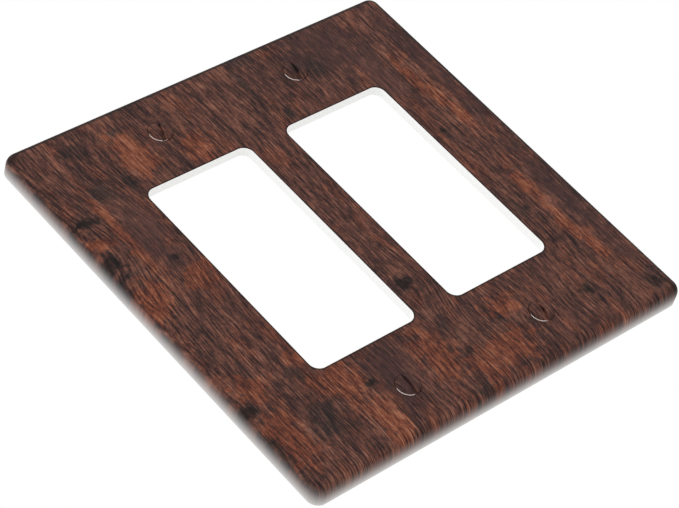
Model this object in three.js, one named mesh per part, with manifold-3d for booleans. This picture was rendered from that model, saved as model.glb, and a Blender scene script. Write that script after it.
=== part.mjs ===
// Two-gang decorator wall plate with its four No. 6-32 oval-head screws, in millimetres.
// The plate stands upright as it is mounted: +Z is up, +Y points into the wall, the front faces -Y.
// The origin is the centre of the plane that the plate's rear rim touches, the wall's surface.
import * as THREE from 'three';
import * as BufferGeometryUtils from 'three/addons/utils/BufferGeometryUtils.js';
import Module from 'manifold-3d';

const wasm = await Module();
wasm.setup();

// Plate, as seen from the front
const PLATE_WIDTH = 126;
const PLATE_HEIGHT = 124;
const PLATE_DEPTH = 6.4;
const OUTLINE_CORNER = 3.2;
const SHOULDER_RADIUS = 3.1;
const FACE_THICKNESS = 2.5;
const SKIRT_THICKNESS = 2.2;
const POCKET_FILLET = 2;

// Device openings and screws, on the standard spacings of ganged devices
const GANG_PITCH = 46.02;
const OPENING_WIDTH = 33.3;
const OPENING_HEIGHT = 66.8;
const OPENING_CORNER = 2.6;
const SCREW_PITCH = 96.84;

// Bosses and ribs on the back, which stop short of the wall to clear the device yokes
const BOSS_DIAMETER = 10;
const BOSS_CLEARANCE = 1.4;
const RIB_THICKNESS = 1.4;
const RIB_HEIGHT = 2.1;
const RIB_SETBACK = 5;

// No. 6-32 oval-head screw, half an inch long below the widest circle of its head
const SHANK_DIAMETER = 3.5;
const SCREW_LENGTH = 12.7;
const TIP_CHAMFER = 0.6;
const HEAD_DIAMETER = 6.5;
const HEAD_HALF_ANGLE = THREE.MathUtils.degToRad(41);
const HEAD_SINK = 0.1;
const HEAD_LAND = 0.35;
const CROWN_HEIGHT = 0.8;
const SLOT_WIDTH = 0.95;
const SLOT_DEPTH = 1.0;
const HOLE_DIAMETER = 4.1;
const SEAT_GAP = 0.2;

const ROUND_SEGMENTS = 32;
const CORNER_SEGMENTS = 8;
const FILLET_SEGMENTS = 5;
const CROWN_SEGMENTS = 5;
const OVERRUN = 5;

const plateMaterial = new THREE.MeshStandardMaterial({ color: 0x50352d, roughness: 0.5, metalness: 0 });
const screwMaterial = new THREE.MeshStandardMaterial({ color: 0x4a332d, roughness: 0.4, metalness: 0.3 });

// Closed geometry to solid, with only the positions kept and shared vertices merged
function solid(geometry) {
  const bare = geometry.index ? geometry.toNonIndexed() : geometry.clone();
  bare.deleteAttribute('normal');
  bare.deleteAttribute('uv');
  const merged = BufferGeometryUtils.mergeVertices(bare, 1e-4);
  const mesh = new wasm.Mesh({
    numProp: 3,
    vertProperties: new Float32Array(merged.attributes.position.array),
    triVerts: new Uint32Array(merged.index.array),
  });
  mesh.merge();
  return new wasm.Manifold(mesh);
}

// Solid back to a named mesh with its material
function namedMesh(name, body, material) {
  const { vertProperties, triVerts } = body.getMesh();
  const geometry = new THREE.BufferGeometry();
  geometry.setAttribute('position', new THREE.BufferAttribute(vertProperties, 3));
  geometry.setIndex(new THREE.BufferAttribute(triVerts, 1));
  geometry.computeVertexNormals();
  const mesh = new THREE.Mesh(geometry, material);
  mesh.name = name;
  return mesh;
}

// Everything below is drawn flat: X to the right, Y up, Z out of the front, Z = 0 on the wall.
function roundedRectangle(width, height, radius) {
  const x = width / 2;
  const y = height / 2;
  const shape = new THREE.Shape();
  shape.moveTo(-x + radius, -y);
  shape.lineTo(x - radius, -y);
  shape.absarc(x - radius, -y + radius, radius, -Math.PI / 2, 0);
  shape.lineTo(x, y - radius);
  shape.absarc(x - radius, y - radius, radius, 0, Math.PI / 2);
  shape.lineTo(-x + radius, y);
  shape.absarc(-x + radius, y - radius, radius, Math.PI / 2, Math.PI);
  shape.lineTo(-x, -y + radius);
  shape.absarc(-x + radius, -y + radius, radius, Math.PI, 1.5 * Math.PI);
  return shape;
}

// Slab of an outline from Z = bottom to Z = top, its front edge rounded to the given radius
function roundedSlab(shape, bottom, top, radius) {
  const geometry = new THREE.ExtrudeGeometry(shape, {
    depth: top - bottom,
    curveSegments: CORNER_SEGMENTS,
    bevelEnabled: true,
    bevelThickness: radius,
    bevelSize: radius,
    bevelOffset: -radius,
    bevelSegments: FILLET_SEGMENTS,
  });
  geometry.translate(0, 0, bottom - radius);
  return solid(geometry).intersect(block(PLATE_WIDTH * 2, PLATE_HEIGHT * 2, bottom, top + OVERRUN));
}

// Straight prism of an outline from Z = bottom to Z = top
function prism(shape, bottom, top) {
  const geometry = new THREE.ExtrudeGeometry(shape, {
    depth: top - bottom,
    curveSegments: CORNER_SEGMENTS,
    bevelEnabled: false,
  });
  return solid(geometry.translate(0, 0, bottom));
}

function block(width, height, bottom, top, x = 0, y = 0) {
  const geometry = new THREE.BoxGeometry(width, height, top - bottom);
  return solid(geometry.translate(x, y, (top + bottom) / 2));
}

// Solid of revolution about an axis parallel to Z, from [radius, z] points that start and end on it
function turned(profile, x = 0, y = 0) {
  const points = profile.map(([radius, z]) => new THREE.Vector2(radius, z));
  const geometry = new THREE.LatheGeometry(points, ROUND_SEGMENTS);
  geometry.rotateX(Math.PI / 2);
  return solid(geometry.translate(x, y, 0));
}

// The four screw places: one column for each gang, one row above and one below the openings
const SCREW_PLACES = [
  { name: 'screw_top_left', x: -GANG_PITCH / 2, y: SCREW_PITCH / 2 },
  { name: 'screw_top_right', x: GANG_PITCH / 2, y: SCREW_PITCH / 2 },
  { name: 'screw_bottom_left', x: -GANG_PITCH / 2, y: -SCREW_PITCH / 2 },
  { name: 'screw_bottom_right', x: GANG_PITCH / 2, y: -SCREW_PITCH / 2 },
];

const FACE_BACK = PLATE_DEPTH - FACE_THICKNESS;
const HEAD_WIDEST = PLATE_DEPTH - HEAD_SINK;

// Hollow shell: face with rounded shoulders and a thin skirt down to the wall
function plateShell() {
  const outline = roundedRectangle(PLATE_WIDTH, PLATE_HEIGHT, OUTLINE_CORNER);
  const shell = roundedSlab(outline, 0, PLATE_DEPTH, SHOULDER_RADIUS);
  const pocketCorner = POCKET_FILLET + 0.1;
  const inside = roundedRectangle(
    PLATE_WIDTH - 2 * SKIRT_THICKNESS,
    PLATE_HEIGHT - 2 * SKIRT_THICKNESS,
    pocketCorner,
  );
  return shell.subtract(roundedSlab(inside, -OVERRUN, FACE_BACK, POCKET_FILLET));
}

// Stiffening ribs round the openings, their ends run into the skirt
function addRibs(plate) {
  const bottom = FACE_BACK - RIB_HEIGHT;
  const top = FACE_BACK + FACE_THICKNESS / 2;
  const besideOpenings = (GANG_PITCH + OPENING_WIDTH) / 2 + RIB_SETBACK;
  const aboveOpenings = OPENING_HEIGHT / 2 + RIB_SETBACK;
  const spanX = PLATE_WIDTH - SKIRT_THICKNESS;
  const spanY = PLATE_HEIGHT - SKIRT_THICKNESS;
  let ribbed = plate;
  for (const y of [-aboveOpenings, aboveOpenings]) {
    ribbed = ribbed.add(block(spanX, RIB_THICKNESS, bottom, top, 0, y));
  }
  for (const x of [-besideOpenings, besideOpenings]) {
    ribbed = ribbed.add(block(RIB_THICKNESS, spanY, bottom, top, x, 0));
  }
  return ribbed.add(block(RIB_THICKNESS, 2 * aboveOpenings, bottom, top, 0, 0));
}

// Boss behind each screw hole, with a web above and below it
function addBosses(plate) {
  const radius = BOSS_DIAMETER / 2;
  const top = FACE_BACK + FACE_THICKNESS / 2;
  const skirtInside = PLATE_HEIGHT / 2 - SKIRT_THICKNESS / 2;
  const ribCentre = OPENING_HEIGHT / 2 + RIB_SETBACK;
  const webLength = skirtInside - ribCentre;
  let bossed = plate;
  for (const { x, y } of SCREW_PLACES) {
    const side = Math.sign(y);
    const webMiddle = side * (ribCentre + webLength / 2);
    bossed = bossed
      .add(turned([[0, BOSS_CLEARANCE], [radius, BOSS_CLEARANCE], [radius, top], [0, top]], x, y))
      .add(block(RIB_THICKNESS, webLength, FACE_BACK - RIB_HEIGHT, top, x, webMiddle));
  }
  return bossed;
}

// Clearance hole with an 82 degree countersink that the screw head sits in
function screwHole({ x, y }) {
  const holeRadius = HOLE_DIAMETER / 2;
  const seatRadius = HEAD_DIAMETER / 2 + SEAT_GAP + HEAD_SINK * Math.tan(HEAD_HALF_ANGLE);
  const coneBottom = PLATE_DEPTH - (seatRadius - holeRadius) / Math.tan(HEAD_HALF_ANGLE);
  return turned([
    [0, -OVERRUN],
    [holeRadius, -OVERRUN],
    [holeRadius, coneBottom],
    [seatRadius, PLATE_DEPTH],
    [seatRadius, PLATE_DEPTH + OVERRUN],
    [0, PLATE_DEPTH + OVERRUN],
  ], x, y);
}

function wallPlate() {
  let plate = addBosses(addRibs(plateShell()));
  const opening = prism(roundedRectangle(OPENING_WIDTH, OPENING_HEIGHT, OPENING_CORNER),
    -OVERRUN, PLATE_DEPTH + OVERRUN);
  for (const x of [-GANG_PITCH / 2, GANG_PITCH / 2]) {
    plate = plate.subtract(opening.translate([x, 0, 0]));
  }
  for (const place of SCREW_PLACES) {
    plate = plate.subtract(screwHole(place));
  }
  return plate;
}

// Screw: chamfered tip, shank at the thread's major diameter, 82 degree cone, thin land, slotted crown
function screw({ x, y }) {
  const shank = SHANK_DIAMETER / 2;
  const head = HEAD_DIAMETER / 2;
  const tip = HEAD_WIDEST - SCREW_LENGTH;
  const neck = HEAD_WIDEST - (head - shank) / Math.tan(HEAD_HALF_ANGLE);
  const crownBase = HEAD_WIDEST + HEAD_LAND;
  const profile = [[0, tip], [shank - TIP_CHAMFER, tip], [shank, tip + TIP_CHAMFER], [shank, neck],
    [head, HEAD_WIDEST], [head, crownBase]];
  for (let step = 1; step <= CROWN_SEGMENTS; step += 1) {
    const angle = (step / CROWN_SEGMENTS) * (Math.PI / 2);
    const radius = step === CROWN_SEGMENTS ? 0 : head * Math.cos(angle);
    profile.push([radius, crownBase + CROWN_HEIGHT * Math.sin(angle)]);
  }
  const top = crownBase + CROWN_HEIGHT;
  const slot = block(SLOT_WIDTH, 2 * HEAD_DIAMETER, top - SLOT_DEPTH, top + OVERRUN, x, y);
  return turned(profile, x, y).subtract(slot);
}

// The plate and its screws, turned from the flat drawing to stand on the wall
const assembly = new THREE.Group();
assembly.rotation.x = Math.PI / 2;
assembly.add(namedMesh('wall_plate', wallPlate(), plateMaterial));
for (const place of SCREW_PLACES) {
  assembly.add(namedMesh(place.name, screw(place), screwMaterial));
}

const wallPlateCover = new THREE.Group();
wallPlateCover.add(assembly);

export default wallPlateCover;
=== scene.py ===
import math

import bmesh
import bpy
from mathutils import Matrix, Vector


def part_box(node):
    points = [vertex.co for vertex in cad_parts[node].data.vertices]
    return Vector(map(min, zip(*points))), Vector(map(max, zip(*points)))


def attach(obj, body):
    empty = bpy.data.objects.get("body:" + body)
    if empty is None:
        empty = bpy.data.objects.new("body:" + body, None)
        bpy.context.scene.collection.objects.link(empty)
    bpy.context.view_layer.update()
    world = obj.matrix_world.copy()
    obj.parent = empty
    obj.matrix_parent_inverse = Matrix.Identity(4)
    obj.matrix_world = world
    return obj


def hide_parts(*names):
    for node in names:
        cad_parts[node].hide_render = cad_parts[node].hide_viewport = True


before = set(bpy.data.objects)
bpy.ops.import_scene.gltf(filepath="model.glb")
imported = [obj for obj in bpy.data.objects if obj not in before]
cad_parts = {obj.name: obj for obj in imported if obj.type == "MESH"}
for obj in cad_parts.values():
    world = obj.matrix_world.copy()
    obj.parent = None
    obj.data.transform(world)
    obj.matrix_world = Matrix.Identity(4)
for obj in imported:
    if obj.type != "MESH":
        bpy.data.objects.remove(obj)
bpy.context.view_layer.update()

MM = 0.001
SAME_PLACE = 1e-7
NEARBY = 1e-6

# ---------------------------------------------------------------------------------------------
# Camera. A long lens stands below and to the left of the plate and looks up at its front, and is
# rolled until the plate lies cornerwise across the picture.
# ---------------------------------------------------------------------------------------------
plate_low, plate_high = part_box("wall_plate")
CAMERA_AIM = Vector((-9.78 * MM, plate_low.y - 0.14 * MM, -7.56 * MM))
CAMERA_DISTANCE = 669.7 * MM
CAMERA_AZIMUTH = math.radians(-38.24)
CAMERA_ELEVATION = math.radians(-24.49)
CAMERA_ROLL = math.radians(44.81)

lens = bpy.data.cameras.new("camera")
lens.lens = 142.6
lens.sensor_width = 36.0
lens.clip_start = 0.01
lens.clip_end = 50.0
camera = bpy.data.objects.new("camera", lens)
bpy.context.scene.collection.objects.link(camera)
towards_camera = Vector((
    math.sin(CAMERA_AZIMUTH) * math.cos(CAMERA_ELEVATION),
    -math.cos(CAMERA_AZIMUTH) * math.cos(CAMERA_ELEVATION),
    math.sin(CAMERA_ELEVATION),
))
level = (-towards_camera).to_track_quat("-Z", "Y").to_matrix().to_4x4()
rolled = level @ Matrix.Rotation(-CAMERA_ROLL, 4, "Z")
camera.matrix_world = Matrix.Translation(CAMERA_AIM + towards_camera * CAMERA_DISTANCE) @ rolled
bpy.context.scene.camera = camera
bpy.context.scene.view_settings.view_transform = "Standard"


# ---------------------------------------------------------------------------------------------
# Studio. A white room that lights evenly from every side, two large softboxes that give the
# plate its shape, and a pale floor below it.
# ---------------------------------------------------------------------------------------------
class Signal:
    """A shader socket. Arithmetic on it adds Math nodes, and node() adds any other node."""

    def __init__(self, tree, socket=None):
        self.tree = tree
        self.socket = socket

    def node(self, kind, settings=None, sockets=None, output=0):
        made = self.tree.nodes.new("ShaderNode" + kind)
        for name, value in (settings or {}).items():
            if name == "stops":
                ramp = made.color_ramp
                while len(ramp.elements) < len(value):
                    ramp.elements.new(0.5)
                for element, (position, colour) in zip(ramp.elements, value):
                    element.position = position
                    element.color = colour
            elif name == "interpolation":
                made.color_ramp.interpolation = value
            else:
                setattr(made, name, value)
        for name, value in (sockets or {}).items():
            if isinstance(value, Signal):
                self.tree.links.new(value.socket, made.inputs[name])
            else:
                made.inputs[name].default_value = value
        return Signal(self.tree, made.outputs[output])

    def maths(self, operation, *values):
        return self.node("Math", {"operation": operation}, dict(enumerate(values)))

    def __add__(self, other):
        return self.maths("ADD", self, other)

    def __sub__(self, other):
        return self.maths("SUBTRACT", self, other)

    def __mul__(self, other):
        return self.maths("MULTIPLY", self, other)

    def __truediv__(self, other):
        return self.maths("DIVIDE", self, other)

    def __pow__(self, other):
        return self.maths("POWER", self, other)

    def __neg__(self):
        return self.maths("MULTIPLY", self, -1.0)

    def __radd__(self, other):
        return self.maths("ADD", other, self)

    def __rsub__(self, other):
        return self.maths("SUBTRACT", other, self)

    def __rmul__(self, other):
        return self.maths("MULTIPLY", other, self)

    def between(self, low, high):
        """0 below low, 1 above high, and a smooth rise from one to the other."""
        return self.node("MapRange", {"interpolation_type": "SMOOTHSTEP"},
                         {"Value": self, "From Min": low, "From Max": high})

    def mixed(self, first, second):
        """first where this is 0 and second where it is 1."""
        return self.node("Mix", {"data_type": "RGBA"}, {0: self, 6: first, 7: second}, 2)


def colour(code):
    """Linear colour with alpha from a hexadecimal sRGB code."""
    parts = [int(code[i:i + 2], 16) / 255 for i in (0, 2, 4)]
    return [p / 12.92 if p <= 0.04045 else ((p + 0.055) / 1.055) ** 2.4 for p in parts] + [1.0]


def material(name):
    """New node material, with the signal to build on and its Principled BSDF."""
    made = bpy.data.materials.new(name)
    made.use_nodes = True
    return made, Signal(made.node_tree), made.node_tree.nodes["Principled BSDF"]


room = bpy.data.worlds.new("room")
room.use_nodes = True
air = Signal(room.node_tree)
seen = air.node("LightPath", output="Is Camera Ray")
ROOM_LIGHT = 1.05
room.node_tree.links.new((ROOM_LIGHT + seen * (1 - ROOM_LIGHT)).socket,
                         room.node_tree.nodes["Background"].inputs["Strength"])
room.node_tree.nodes["Background"].inputs["Color"].default_value = (1, 1, 1, 1)
bpy.context.scene.world = room


def softbox(name, place, width, power):
    """Square area light at a place, turned to face the plate."""
    lamp = bpy.data.lights.new(name, "AREA")
    lamp.size = width
    lamp.energy = power
    stand = bpy.data.objects.new(name, lamp)
    bpy.context.scene.collection.objects.link(stand)
    aim = (-Vector(place)).to_track_quat("-Z", "Y").to_matrix().to_4x4()
    stand.matrix_world = Matrix.Translation(place) @ aim


softbox("softbox_front", (-0.9, -1.3, 0.7), 1.2, 2.0)
softbox("softbox_back", (0.9, 1.3, 0.9), 1.2, 2.0)

FLOOR_DROP = 0.33
ground = bmesh.new()
bmesh.ops.create_grid(ground, x_segments=1, y_segments=1, size=8.0)
bmesh.ops.translate(ground, vec=(0, 0, -FLOOR_DROP), verts=ground.verts)
floor_mesh = bpy.data.meshes.new("floor")
ground.to_mesh(floor_mesh)
ground.free()
floor = bpy.data.objects.new("floor", floor_mesh)
bpy.context.scene.collection.objects.link(floor)
floor_paint, _, floor_surface = material("floor_paint")
floor_surface.inputs["Base Color"].default_value = colour("e9e9e8")
floor_surface.inputs["Roughness"].default_value = 0.8
floor_mesh.materials.append(floor_paint)

# ---------------------------------------------------------------------------------------------
# Wall plate. One moulding in white thermoplastic: a face with rounded shoulders, a skirt that
# meets the wall, ribs and screw bosses behind. The wood image is ink on the front. It is laid on
# from straight ahead, so it stretches over the shoulders and thins out to bare plastic at the rim.
# ---------------------------------------------------------------------------------------------
WIDTH = plate_high.x - plate_low.x
HEIGHT = plate_high.z - plate_low.z
FRONT = plate_low.y
RIM = plate_high.y
FACE_BACK = FRONT + 2.5 * MM
OUTLINE_CORNER = 3.2 * MM
SHOULDER = 3.1 * MM
SKIRT = 2.2 * MM
POCKET_FILLET = 2 * MM
POCKET_CORNER = 2.1 * MM
OPENING_WIDTH = 33.3 * MM
OPENING_HEIGHT = 66.8 * MM
OPENING_CORNER = 2.6 * MM
LIP = 0.26 * MM
RIM_EDGE = 0.2 * MM
RIB = 1.4 * MM
RIB_END = FACE_BACK + 2.1 * MM
RIB_SETBACK = 5 * MM
RIB_ROUND = 0.35 * MM
BOSS_RADIUS = 5 * MM
BOSS_END = RIM - 1.4 * MM
HOLE_RADIUS = 2.05 * MM
SEAT_RADIUS = 3.45 * MM
SEAT_SLOPE = math.tan(math.radians(41))
SCREWS = ["screw_top_left", "screw_top_right", "screw_bottom_left", "screw_bottom_right"]
PAST = 5 * MM
SHARP_ANGLE = math.radians(35)
PRINTED, PLASTIC = 0, 1

screw_places = {}
for name in SCREWS:
    low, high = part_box(name)
    screw_places[name] = Vector(((low.x + high.x) / 2, 0, (low.z + high.z) / 2))
gang_half = screw_places["screw_top_right"].x
rows_half = screw_places["screw_top_right"].z


def linked(shape, name, materials=()):
    """Object of a finished bmesh, at the origin."""
    mesh = bpy.data.meshes.new(name)
    shape.to_mesh(mesh)
    shape.free()
    for one in materials:
        mesh.materials.append(one)
    made = bpy.data.objects.new(name, mesh)
    bpy.context.scene.collection.objects.link(made)
    return made


def add_to(shape, made):
    """Adds the bmesh made to the bmesh shape, and frees it."""
    part = bpy.data.meshes.new("part")
    made.to_mesh(part)
    made.free()
    shape.from_mesh(part)
    bpy.data.meshes.remove(part)


def block(shape, width, height, corner, start, end, rounding=0.0, centre=(0, 0)):
    """Block along Y with rounded corners. The edge at its end can be rounded over too."""
    made = bmesh.new()
    bmesh.ops.create_grid(made, x_segments=1, y_segments=1, size=0.5)
    bmesh.ops.scale(made, vec=(width, height, 1), verts=made.verts)
    bmesh.ops.rotate(made, matrix=Matrix.Rotation(math.radians(90), 3, "X"), verts=made.verts)
    bmesh.ops.translate(made, vec=(centre[0], start, centre[1]), verts=made.verts)
    bmesh.ops.bevel(made, geom=made.verts[:], offset=corner, segments=10, profile=0.5,
                    affect="VERTICES", material=-1)
    risen = bmesh.ops.extrude_face_region(made, geom=made.faces[:])["geom"]
    lifted = [v for v in risen if isinstance(v, bmesh.types.BMVert)]
    bmesh.ops.translate(made, vec=(0, end - start, 0), verts=lifted)
    if rounding:
        edges = [e for e in made.edges if all(abs(v.co.y - end) < SAME_PLACE for v in e.verts)]
        bmesh.ops.bevel(made, geom=edges, offset=rounding, segments=12, profile=0.5,
                        affect="EDGES", material=-1, clamp_overlap=True)
    bmesh.ops.recalc_face_normals(made, faces=made.faces)
    add_to(shape, made)


def turned(shape, profile, centre=(0, 0), steps=64):
    """Solid of revolution about an axis along Y, from (radius, y) points that start and end on it."""
    made = bmesh.new()
    points = [made.verts.new((radius, y, 0)) for radius, y in profile]
    edges = [made.edges.new(pair) for pair in zip(points, points[1:])]
    bmesh.ops.spin(made, geom=points + edges, cent=(0, 0, 0), axis=(0, 1, 0), dvec=(0, 0, 0),
                   angle=2 * math.pi, steps=steps, use_merge=True, use_duplicate=False)
    bmesh.ops.remove_doubles(made, verts=made.verts, dist=SAME_PLACE)
    bmesh.ops.recalc_face_normals(made, faces=made.faces)
    bmesh.ops.translate(made, vec=(centre[0], 0, centre[1]), verts=made.verts)
    add_to(shape, made)


def combined(body, tool, operation):
    """Joins, cuts or intersects body with tool, and takes the tool away."""
    step = body.modifiers.new("combine", "BOOLEAN")
    step.operation = operation
    step.solver = "MANIFOLD"
    step.object = tool
    finished = body.evaluated_get(bpy.context.evaluated_depsgraph_get())
    mesh = bpy.data.meshes.new_from_object(finished)
    body.modifiers.clear()
    body.data = mesh
    bpy.data.objects.remove(tool)


def painted(shape, index):
    """The same bmesh with every face on one material."""
    for face in shape.faces:
        face.material_index = index
    return shape


# Tones from dark to light: ordinary wood, bare orange wood, the even dull areas and the stains
WOOD_TONES = [(0.1, colour("2c2021")), (0.3, colour("422d2a")), (0.47, colour("553831")),
              (0.62, colour("68443a")), (0.8, colour("7c5042")), (1.0, colour("8f6456"))]
WARM_TONES = [(0.1, colour("37221f")), (0.3, colour("583128")), (0.47, colour("703e2e")),
              (0.62, colour("844a36")), (0.8, colour("935a42")), (1.0, colour("a37056"))]
CALM_TONES = [(0.1, colour("36282a")), (0.47, colour("4a3432")), (1.0, colour("6d4b45"))]
SOOT_TONES = [(0.1, colour("201e1e")), (0.47, colour("2e2827")), (1.0, colour("53413c"))]
# Planks as (start across the width from 0 to 1, tone), and the joints between some, in millimetres
PLANKS = [(0.0, 0.5), (0.067, 0.68), (0.085, 0.46), (0.19, 0.58), (0.265, 0.36), (0.34, 0.5),
          (0.46, 0.55), (0.55, 0.46), (0.661, 0.4), (0.77, 0.48), (0.882, 0.58), (0.93, 0.42)]
JOINTS = [-54.6, -29.6, -6.5, 20.3, 48.1]
INK_STRENGTH = 0.91
INK_ROUGHNESS = 0.7
INK_GLOSS = 0.1

# Ovals of the print as (x, z, half width, half height) in millimetres. A knot in KNOTS also has the
# distance by which it pushes the grain aside
KNOT_CORES = [(-61.0, 18.2, 2.2, 2.6), (-60.3, 32.6, 4.0, 1.4), (-1.8, -23.2, 1.6, 2.2),
              (39.5, -50.3, 1.2, 2.0), (43.9, 12.1, 0.8, 0.7), (-30.3, -43.0, 0.9, 1.0),
              (-46.3, 12.6, 0.9, 1.0), (-62.0, -34.0, 1.2, 2.0), (57.5, -56.5, 1.4, 1.8),
              (-1.6, -48.0, 1.0, 1.4)]
KNOTS = [(-63.0, 22.0, 7.0, 7.0, 8.0), (-1.9, -23.5, 3.2, 4.0, 3.5), (39.4, -50.0, 3.0, 3.4, 2.2),
         (43.9, 12.1, 1.6, 1.6, 1.5), (-46.0, 12.4, 2.2, 2.6, 1.8), (13.0, -41.0, 5.0, 4.0, 3.5)]
WARM_SPOTS = [(-53.2, 25.0, 1.8, 15.0), (-60.0, 25.5, 3.6, 4.0), (-34.0, 45.0, 5.0, 8.0),
              (-17.5, 39.0, 4.0, 6.0), (-44.5, 4.5, 5.0, 5.0), (-60.0, 3.5, 5.0, 6.0),
              (-57.0, -30.0, 4.0, 5.0), (-58.0, -45.5, 4.5, 10.0), (-42.0, -32.0, 3.0, 9.0),
              (-35.5, -40.0, 5.0, 7.0), (-33.5, -53.0, 3.6, 9.0), (-10.5, -45.5, 5.0, 8.0),
              (-2.0, -55.0, 4.0, 6.0), (8.0, -52.5, 8.0, 5.5), (15.0, -41.5, 6.0, 3.5),
              (50.2, 32.0, 1.9, 9.0), (51.6, 22.0, 2.2, 6.0), (53.4, 14.5, 2.0, 5.0),
              (50.4, -14.0, 2.0, 6.0), (50.6, -29.0, 1.7, 8.0), (51.8, -40.0, 1.8, 6.0)]
CALM_SPOTS = [(36.0, 52.0, 12.0, 9.0), (44.0, 38.0, 4.5, 13.0), (-23.6, -43.5, 6.0, 10.0),
              (-48.0, 22.0, 4.6, 12.0), (57.5, 30.0, 3.0, 24.0), (57.0, -20.0, 3.2, 22.0)]
DARK_SPOTS = [(-60.5, 32.6, 5.0, 1.8), (-61.0, 18.2, 2.6, 2.8), (-59.5, 13.4, 5.0, 0.8),
              (-48.5, 53.0, 3.0, 2.4), (-34.2, 54.0, 2.2, 1.8), (-49.0, 39.0, 4.4, 3.4),
              (-40.6, 38.5, 1.6, 4.0), (-46.2, 12.4, 1.8, 1.8), (-62.0, -33.6, 2.2, 3.6),
              (-62.6, -48.0, 1.3, 11.0), (-46.7, -46.0, 5.0, 6.0), (-44.5, -31.0, 4.5, 2.6),
              (-30.3, -43.0, 1.6, 1.8), (-1.8, -23.2, 2.6, 3.2), (-7.0, -60.0, 2.6, 2.4),
              (-1.4, -39.0, 1.5, 4.0), (12.5, 60.0, 4.0, 3.2), (7.4, 54.0, 1.2, 7.0),
              (11.0, 37.0, 2.4, 2.4), (43.9, 12.1, 1.3, 1.2), (39.5, -50.3, 2.0, 3.2),
              (57.5, -56.0, 3.2, 4.0), (43.0, -19.5, 2.0, 4.5), (29.6, 47.0, 2.6, 4.0)]
KNOT_REACH = 2.2
KNOT_INK = 0.76
RAGGEDNESS = 4.0


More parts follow.
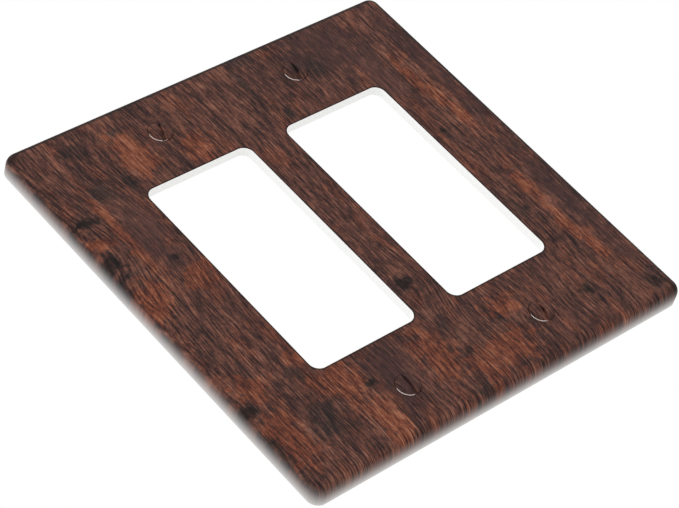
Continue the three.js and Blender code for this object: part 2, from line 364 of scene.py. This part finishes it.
def wood_print(surface, x, z):
    """Colour of the printed wood, from the place on the front in millimetres."""

    def noise(u, v, wide, tall, seed, detail=2.0, rough=0.5, twist=0.0):
        place = surface.node("CombineXYZ", sockets={"X": u / wide, "Y": v / tall, "Z": seed})
        return surface.node("TexNoise", {"noise_dimensions": "3D"},
                            {"Vector": place, "Scale": 1.0, "Detail": detail, "Roughness": rough,
                             "Distortion": twist})

    flat = surface.node("CombineXYZ", sockets={"X": x, "Y": z})

    def ragged_distance(spots, ragged):
        """Distance to the middle of the nearest oval spot, 1 at its edge, made ragged by noise."""
        nearest = None
        for centre_x, centre_z, wide, tall in spots:
            inside = surface.node("VectorMath", {"operation": "MULTIPLY_ADD"},
                                  {0: flat, 1: (1 / wide, 1 / tall, 0),
                                   2: (-centre_x / wide, -centre_z / tall, 0)})
            away = surface.node("VectorMath", {"operation": "LENGTH"}, {0: inside}, "Value")
            nearest = away if nearest is None else surface.maths("MINIMUM", nearest, away)
        return nearest + (ragged - 0.5) * RAGGEDNESS

    # Grain wanders slowly and bends round the knots
    wander = noise(x, z, 24.0, 60.0, 1.3, 1.0) - 0.5
    ripple = noise(x, z, 5.0, 14.0, 4.1, 1.0) - 0.5
    bend = wander * 5.5 + ripple * 0.9
    for centre_x, centre_z, wide, tall, push in KNOTS:
        across = (x - centre_x) / (wide * KNOT_REACH)
        along = (z - centre_z) / (tall * KNOT_REACH)
        near = surface.maths("EXPONENT", -(across * across + along * along))
        bend = bend - near * across * push
    g = x + bend

    # Fine fibres and pores, broad clouds, and the tone of each plank
    fibres = noise(g, z, 0.34, 5.2, 7.7, 1.0, 0.6)
    hairs = noise(g, z, 0.34, 1.0, 9.2, 2.0, 0.7)
    threads = noise(g, z, 1.1, 14.0, 3.4, 1.0)
    threads = 1.0 - surface.maths("ABSOLUTE", threads - 0.5).between(0.0, 0.07)
    bands = noise(g, z, 2.2, 17.0, 17.3, 2.0)
    rough_edge = noise(g, z, 2.2, 3.0, 31.4, 6.0, 0.7, 0.4)
    flecks = noise(g, z, 1.5, 2.4, 15.8, 3.0, 0.6)
    clouds = noise(g, z, 8.0, 14.0, 2.6, 4.0, 0.6, 0.5)
    steps = [(start, (level,) * 3 + (1,)) for start, level in PLANKS]
    plank_place = x + bend * 0.1
    plank = surface.node("ValToRGB", {"interpolation": "CONSTANT", "stops": steps},
                         {"Fac": plank_place / (WIDTH / MM) + 0.5})
    plank = surface.node("RGBToBW", sockets={"Color": plank})
    calm = 1.0 - ragged_distance(CALM_SPOTS, rough_edge).between(0.7, 1.15)
    grain = ((fibres - 0.5) * 1.65 + (hairs - 0.5) * 0.8 + (bands - 0.5) * 0.3
             + threads * 0.06)
    tone = (0.455 + (clouds - 0.5) * 0.62 + grain * (1.0 - calm * 0.4) + (flecks - 0.5) * 0.6
            + (plank - 0.5) * 0.6)
    wood = surface.node("ValToRGB", {"stops": WOOD_TONES}, {"Fac": tone})
    warm_wood = surface.node("ValToRGB", {"stops": WARM_TONES}, {"Fac": tone})

    # Bare orange wood shows in ragged patches, soot-dark stain lies over the rest, knots are black
    worn = noise(g, z, 5.0, 11.0, 12.4, 5.0, 0.66, 0.4).between(0.51, 0.63) * 0.5
    warm_spots = 1.0 - ragged_distance(WARM_SPOTS, rough_edge).between(0.75, 1.2)
    wood = (surface.maths("MAXIMUM", worn, warm_spots) * 0.9).mixed(wood, warm_wood)
    wood = (calm * 0.55).mixed(wood, surface.node("ValToRGB", {"stops": CALM_TONES}, {"Fac": tone}))
    stain = noise(g, z, 2.8, 3.8, 21.9, 5.0, 0.7, 0.5).between(0.56, 0.66) * 0.55
    to_dark = ragged_distance(DARK_SPOTS, 1.0 - rough_edge)
    soot = surface.maths("MAXIMUM", stain, 1.0 - to_dark.between(0.1, 1.5))
    wood = (soot * 0.72).mixed(wood, surface.node("ValToRGB", {"stops": SOOT_TONES}, {"Fac": tone}))
    to_knot = ragged_distance(KNOT_CORES, 1.0 - rough_edge)
    wood = (KNOT_INK - to_knot.between(0.4, 1.4) * KNOT_INK).mixed(wood, colour("1a1616"))

    # Hairline joints between the planks, broken up by the clouds
    joint = None
    for place in JOINTS:
        away = surface.maths("ABSOLUTE", plank_place - place)
        joint = away if joint is None else surface.maths("MINIMUM", joint, away)
    joint = (1.0 - joint.between(0.08, 0.4)) * clouds.between(0.38, 0.55) * 0.6
    wood = joint.mixed(wood, colour("221a19"))
    wood = surface.node("VectorMath", {"operation": "SCALE"}, {0: wood, "Scale": INK_STRENGTH})
    return wood


FADE_DEPTH = 5.0 * MM
LOWER_FADE = 0.6 * MM
FADE_CURVE = 1.4

printed, ink, ink_surface = material("printed_wood")
where = ink.node("TexCoord", output="Object")
apart = ink.node("SeparateXYZ", sockets={"Vector": where})
east, depth, north = (Signal(ink.tree, s) for s in apart.socket.node.outputs)
wood_colour = wood_print(ink, east / MM, north / MM)

# A thin dark line is painted round the openings, partly darker ink at the edge and partly painted edge
# shade.
# On the top and right shoulders painted shade lies from just below the face until it thins again
INK_AND_SHADE_LINE = 0.8
from_gang = ink.maths("ABSOLUTE", ink.maths("ABSOLUTE", east) - gang_half)
side_gap = from_gang - (OPENING_WIDTH / 2 - OPENING_CORNER)
end_gap = ink.maths("ABSOLUTE", north) - (OPENING_HEIGHT / 2 - OPENING_CORNER)
side_gap = ink.maths("MAXIMUM", side_gap, 0.0)
end_gap = ink.maths("MAXIMUM", end_gap, 0.0)
beyond_lip = (side_gap * side_gap + end_gap * end_gap) ** 0.5 - (OPENING_CORNER + LIP)
dark_ink_and_shade = 1.0 - beyond_lip.between(0.1 * MM, 0.7 * MM)
far_side = ink.maths("MAXIMUM", east.between(57 * MM, 61 * MM), north.between(56 * MM, 60 * MM))
painted_shoulder_shade = far_side * depth.between(FRONT + 0.05 * MM, FRONT + 0.25 * MM)
painted_shoulder_shade = painted_shoulder_shade * (1.0 - depth.between(FRONT + 1.4 * MM, FRONT + 2.4 * MM))
dark_ink_and_shade = ink.maths("MAXIMUM", dark_ink_and_shade, painted_shoulder_shade)
wood_colour = (dark_ink_and_shade * INK_AND_SHADE_LINE).mixed(wood_colour, colour("191211"))
fade_depth = FADE_DEPTH + (1.0 - north.between(-60 * MM, -56 * MM)) * LOWER_FADE
rise = (RIM - depth) / fade_depth
bare = ink.maths("MAXIMUM", 1.0 - rise, 0.0) ** FADE_CURVE
ink.tree.links.new(bare.mixed(wood_colour, colour("d6d4d3")).socket, ink_surface.inputs["Base Color"])
ink_surface.inputs["Roughness"].default_value = INK_ROUGHNESS
ink_surface.inputs["Specular IOR Level"].default_value = INK_GLOSS

plastic, white, white_surface = material("white_plastic")
grit = white.node("TexNoise", sockets={"Vector": white.node("TexCoord", output="Object"),
                                       "Scale": 2500.0, "Detail": 3.0})
white.tree.links.new(grit.between(0.2, 0.8).mixed(colour("f2f2f1"), colour("f8f8f7")).socket,
                     white_surface.inputs["Base Color"])
white_surface.inputs["Roughness"].default_value = 0.45
white.tree.links.new(
    white.node("Bump", sockets={"Strength": 0.2, "Distance": 0.02 * MM, "Height": grit}).socket,
    white_surface.inputs["Normal"])

shell = bmesh.new()
block(shell, WIDTH, HEIGHT, OUTLINE_CORNER, RIM, FRONT, SHOULDER)
for face in shell.faces:
    face.material_index = PLASTIC if face.normal.y > 0.9 else PRINTED
moulding = linked(shell, "wall_plate_moulding", (printed, plastic))

pocket = bmesh.new()
block(pocket, WIDTH - 2 * SKIRT, HEIGHT - 2 * SKIRT, POCKET_CORNER, RIM + PAST, FACE_BACK,
      POCKET_FILLET)
combined(moulding, linked(painted(pocket, PLASTIC), "pocket", (printed, plastic)), "DIFFERENCE")

ROOT = FACE_BACK - 1.2 * MM
above = OPENING_HEIGHT / 2 + RIB_SETBACK
beside = gang_half + OPENING_WIDTH / 2 + RIB_SETBACK
web = HEIGHT / 2 - SKIRT / 2 - above
for side in (-1, 1):
    across = bmesh.new()
    block(across, WIDTH - SKIRT, RIB, RIB_ROUND, ROOT, RIB_END, RIB_ROUND, (0, side * above))
    combined(moulding, linked(painted(across, PLASTIC), "rib", (printed, plastic)), "UNION")
    upright = bmesh.new()
    block(upright, RIB, HEIGHT - SKIRT, RIB_ROUND, ROOT, RIB_END, RIB_ROUND, (side * beside, 0))
    combined(moulding, linked(painted(upright, PLASTIC), "rib", (printed, plastic)), "UNION")
middle = bmesh.new()
block(middle, RIB, 2 * above, RIB_ROUND, ROOT, RIB_END, RIB_ROUND)
combined(moulding, linked(painted(middle, PLASTIC), "rib", (printed, plastic)), "UNION")
for place in screw_places.values():
    side = math.copysign(1, place.z)
    gusset = bmesh.new()
    block(gusset, RIB, web, RIB_ROUND, ROOT, RIB_END, RIB_ROUND,
          (place.x, side * (above + web / 2)))
    combined(moulding, linked(painted(gusset, PLASTIC), "rib", (printed, plastic)), "UNION")
    boss = bmesh.new()
    turned(boss, [(0, ROOT), (BOSS_RADIUS, ROOT), (BOSS_RADIUS, BOSS_END - RIB_ROUND),
                  (BOSS_RADIUS - 0.3 * RIB_ROUND, BOSS_END - 0.3 * RIB_ROUND),
                  (BOSS_RADIUS - RIB_ROUND, BOSS_END), (0, BOSS_END)], (place.x, place.z))
    combined(moulding, linked(painted(boss, PLASTIC), "boss", (printed, plastic)), "UNION")

for side in (-1, 1):
    opening = bmesh.new()
    block(opening, OPENING_WIDTH, OPENING_HEIGHT, OPENING_CORNER, RIM + PAST, FRONT - PAST,
          centre=(side * gang_half, 0))
    combined(moulding, linked(painted(opening, PLASTIC), "opening", (printed, plastic)), "DIFFERENCE")
for place in screw_places.values():
    hole = bmesh.new()
    cone = FRONT + (SEAT_RADIUS - HOLE_RADIUS) / SEAT_SLOPE
    turned(hole, [(0, FRONT - PAST), (SEAT_RADIUS, FRONT - PAST), (SEAT_RADIUS, FRONT),
                  (HOLE_RADIUS, cone), (HOLE_RADIUS, RIM + PAST), (0, RIM + PAST)],
           (place.x, place.z))
    painted(hole, PLASTIC)
    for face in hole.faces:
        if FRONT < face.calc_center_median().y < cone:
            face.material_index = PRINTED
    combined(moulding, linked(hole, "hole", (printed, plastic)), "DIFFERENCE")

# The openings' front edges have a small bare radius, and the rim's edges are just broken
edging = bmesh.new()
edging.from_mesh(moulding.data)


def inside_opening(point):
    return (abs(abs(point.x) - gang_half) < OPENING_WIDTH / 2 + 0.05 * MM
            and abs(point.z) < OPENING_HEIGHT / 2 + 0.05 * MM)


def sharp_at(depth_wanted, test):
    return [e for e in edging.edges if e.is_manifold and e.calc_face_angle(0) > math.radians(40)
            and all(abs(v.co.y - depth_wanted) < NEARBY and test(v.co) for v in e.verts)]


lip = bmesh.ops.bevel(edging, geom=sharp_at(FRONT, inside_opening), offset=LIP, segments=3,
                      profile=0.5, affect="EDGES", material=PLASTIC)
for face in lip["faces"]:
    face.material_index = PLASTIC
bmesh.ops.bevel(edging, geom=sharp_at(RIM, lambda point: True), offset=RIM_EDGE, segments=2,
                profile=0.5, affect="EDGES", material=PLASTIC)
edging.to_mesh(moulding.data)
edging.free()
moulding.data.shade_smooth()
moulding.data.set_sharp_from_angle(angle=SHARP_ANGLE)
weighted = moulding.modifiers.new("flat_faces_stay_flat", "WEIGHTED_NORMAL")
weighted.keep_sharp = True
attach(moulding, "plate")
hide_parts("wall_plate")

# ---------------------------------------------------------------------------------------------
# Screws. Four oval-head machine screws, slotted, in zinc-plated steel. The heads are painted white
# and carry the wood print with the plate; the upright side of each head carries stray ink, and its
# lower-left part is painted near white, partly bare paint and partly a painted highlight.
# ---------------------------------------------------------------------------------------------
HEAD_RADIUS = 3.25 * MM
HEAD_UNDER = FRONT + 0.1 * MM
HEAD_TOP = FRONT - 0.25 * MM
CROWN = 0.8 * MM
HEAD_ROUND = 0.07 * MM
SLOT_WIDTH = 0.95 * MM
SLOT_DEPTH = 1.0 * MM
PITCH = 0.794 * MM
THREAD_MAJOR = 1.74 * MM
THREAD_MINOR = 1.28 * MM
NECK = 1.35 * MM
TIP = 6.4 * MM
TIP_CHAMFER = 0.6 * MM
SLOT_TURNS = {"screw_top_left": 20, "screw_top_right": 14, "screw_bottom_left": 3,
              "screw_bottom_right": 9}
BARE_AND_HIGHLIT_SIDE = (-0.8, -0.6)
HEAD_PRINT, HEAD_SIDE, ZINC = 0, 1, 2

head_print, tint, tint_surface = material("printed_screw_head")
tint_place = tint.node("SeparateXYZ", sockets={"Vector": tint.node("TexCoord", output="Object")})
tint_x, _, tint_z = (Signal(tint.tree, s) for s in tint_place.socket.node.outputs)
head_wood = wood_print(tint, tint_x / MM, tint_z / MM)
tint.tree.links.new(head_wood.socket, tint_surface.inputs["Base Color"])
tint_surface.inputs["Roughness"].default_value = INK_ROUGHNESS
tint_surface.inputs["Specular IOR Level"].default_value = INK_GLOSS

head_side, stray, stray_surface = material("bare_screw_paint_and_highlight")
stray_place = stray.node("TexCoord", output="Object")
stray_apart = stray.node("SeparateXYZ", sockets={"Vector": stray_place})
stray_x, _, stray_z = (Signal(stray.tree, s) for s in stray_apart.socket.node.outputs)
from_axis_x = stray_x - stray.maths("SIGN", stray_x) * gang_half
from_axis_z = stray_z - stray.maths("SIGN", stray_z) * rows_half
# The lower-left part of each head's upright side is painted near white: partly bare paint, partly a
# painted highlight
bare_and_highlight = (BARE_AND_HIGHLIT_SIDE[0] * from_axis_x + BARE_AND_HIGHLIT_SIDE[1] * from_axis_z) / HEAD_RADIUS
spatter = stray.node("TexNoise", sockets={"Vector": stray_place, "Scale": 1500.0, "Detail": 3.0})
bare_and_highlight = (bare_and_highlight + (spatter - 0.5) * 0.2).between(0.6, 0.8)
stray_ink = spatter.mixed(colour("4a302a"), colour("6d463a"))
stray.tree.links.new(bare_and_highlight.mixed(stray_ink, colour("f0dfd8")).socket,
                     stray_surface.inputs["Base Color"])
stray_surface.inputs["Roughness"].default_value = 0.5

zinc, plating, plating_surface = material("zinc_plate")
dull = plating.node("TexNoise", sockets={"Vector": plating.node("TexCoord", output="Object"),
                                         "Scale": 900.0, "Detail": 4.0})
plating.tree.links.new(dull.mixed(colour("a9abac"), colour("c4c6c6")).socket,
                       plating_surface.inputs["Base Color"])
plating.tree.links.new((0.28 + dull * 0.25).socket, plating_surface.inputs["Roughness"])
plating_surface.inputs["Metallic"].default_value = 1.0


def threaded_rod(start, end, turn_steps=32):
    """Rod along Y with a single-start helical thread, cut off square at both ends."""
    rod = bmesh.new()
    ridge = [(THREAD_MINOR, 0.0), (THREAD_MINOR, 0.25), (THREAD_MAJOR, 0.56), (THREAD_MAJOR, 0.69),
             (THREAD_MINOR, 1.0)]
    points = [rod.verts.new((radius, start + (along - 1.5) * PITCH, 0)) for radius, along in ridge]
    edges = [rod.edges.new(pair) for pair in zip(points, points[1:])]
    turns = math.ceil((end - start) / PITCH) + 3
    bmesh.ops.spin(rod, geom=points + edges, cent=(0, 0, 0), axis=(0, 1, 0),
                   dvec=(0, PITCH / turn_steps, 0), angle=2 * math.pi * turns,
                   steps=turn_steps * turns, use_merge=False, use_duplicate=False)
    bmesh.ops.remove_doubles(rod, verts=rod.verts, dist=NEARBY)
    for place, normal in ((start, (0, -1, 0)), (end, (0, 1, 0))):
        whole = rod.verts[:] + rod.edges[:] + rod.faces[:]
        bmesh.ops.bisect_plane(rod, geom=whole, dist=SAME_PLACE, plane_co=(0, place, 0),
                               plane_no=normal, clear_outer=True)
    bmesh.ops.holes_fill(rod, edges=[e for e in rod.edges if e.is_boundary], sides=0)
    bmesh.ops.recalc_face_normals(rod, faces=rod.faces)
    return rod


screw_paints = (head_print, head_side, zinc)
for name, place in screw_places.items():
    rod = threaded_rod(FRONT + 1.5 * MM, TIP)
    screw = linked(painted(rod, ZINC), name + "_finished", screw_paints)

    crown_radius = (HEAD_RADIUS ** 2 + CROWN ** 2) / (2 * CROWN)
    crown_centre = HEAD_TOP - CROWN + crown_radius
    top = []
    for i in range(13):
        radius = (HEAD_RADIUS - HEAD_ROUND) * i / 12
        top.append((radius, crown_centre - math.sqrt(crown_radius ** 2 - radius ** 2)))
    cone_depth = (HEAD_RADIUS - NECK) / SEAT_SLOPE
    head = bmesh.new()
    turned(head, top + [(HEAD_RADIUS - 0.3 * HEAD_ROUND, HEAD_TOP + 0.3 * HEAD_ROUND),
                        (HEAD_RADIUS, HEAD_TOP + HEAD_ROUND), (HEAD_RADIUS, HEAD_UNDER),
                        (NECK, HEAD_UNDER + cone_depth), (0, HEAD_UNDER + cone_depth)])
    for face in head.faces:
        if face.normal.y < -0.6:
            face.material_index = HEAD_PRINT
        elif face.calc_center_median().y < HEAD_UNDER:
            face.material_index = HEAD_SIDE
        else:
            face.material_index = ZINC
    combined(screw, linked(head, "head", screw_paints), "UNION")

    envelope = bmesh.new()
    turned(envelope, [(0, FRONT - PAST), (5 * MM, FRONT - PAST),
                      (5 * MM, TIP - TIP_CHAMFER - 4 * MM),
                      (THREAD_MAJOR + 0.01 * MM, TIP - TIP_CHAMFER), (THREAD_MAJOR - TIP_CHAMFER, TIP),
                      (0, TIP)])
    combined(screw, linked(painted(envelope, ZINC), "envelope", screw_paints), "INTERSECT")

    slot = bmesh.new()
    block(slot, SLOT_WIDTH, 3 * HEAD_RADIUS, 0.05 * MM, FRONT - PAST, HEAD_TOP - CROWN + SLOT_DEPTH,
          0.12 * MM)
    combined(screw, linked(painted(slot, HEAD_PRINT), "slot", screw_paints), "DIFFERENCE")

    turn = Matrix.Rotation(math.radians(SLOT_TURNS[name]), 4, "Y")
    screw.data.transform(Matrix.Translation((place.x, 0, place.z)) @ turn)
    screw.data.shade_smooth()
    screw.data.set_sharp_from_angle(angle=SHARP_ANGLE)
    side, corner = name.replace("screw_", "").split("_")
    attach(screw, side + "_" + corner + "_screw")
    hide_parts(name)
